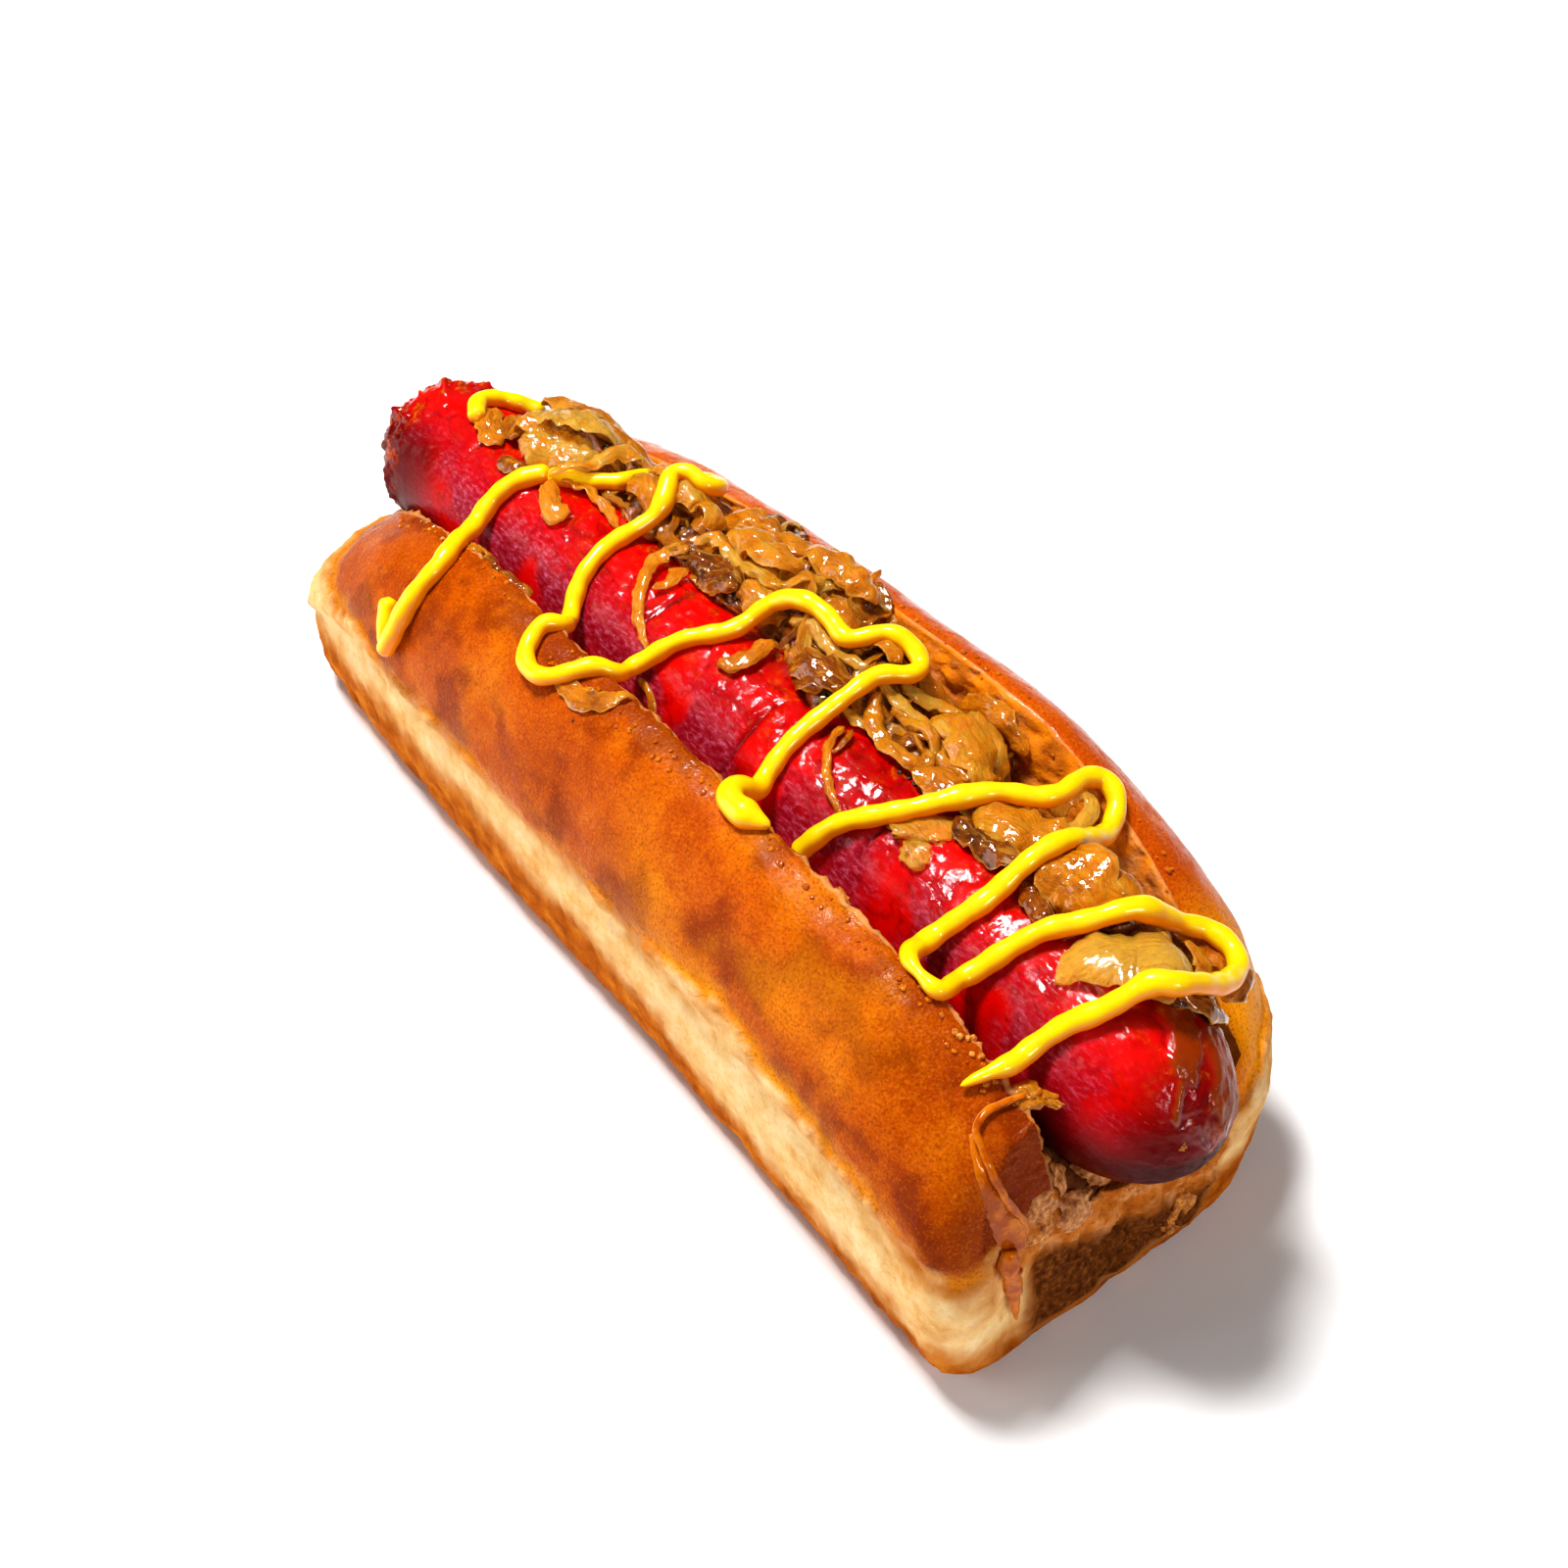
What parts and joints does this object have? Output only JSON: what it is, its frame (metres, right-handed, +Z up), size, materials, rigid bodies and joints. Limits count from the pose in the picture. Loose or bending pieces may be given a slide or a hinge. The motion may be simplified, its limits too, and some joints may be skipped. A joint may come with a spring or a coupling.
{
  "type": "hot dog",
  "caption": "Glazed sausage in a soft top-split roll, with fried onions heaped along the far side and a zigzag of yellow mustard laid across the top.",
  "frame": {"origin": "centre of the roll's flat base", "axes": "+Z up, +X along the sausage towards its rounded bare end, +Y towards the half of the roll that the onions lie against"},
  "size_m": [0.1595, 0.0568, 0.0497],
  "materials": {
    "bun": "baked crust with a soft sheen, pale at the sides",
    "sausage": "wet glazed skin",
    "onions": "oily, half clear",
    "mustard": "smooth and wet"
  },
  "bodies": {
    "root": {"bun": "bun", "sausage": "sausage", "onions": "onions", "onion_petal": "onions", "onion_strip": "onions", "mustard_curl": "mustard", "mustard_hook": "mustard", "mustard_zigzag": "mustard"}
  },
  "joints": []
}
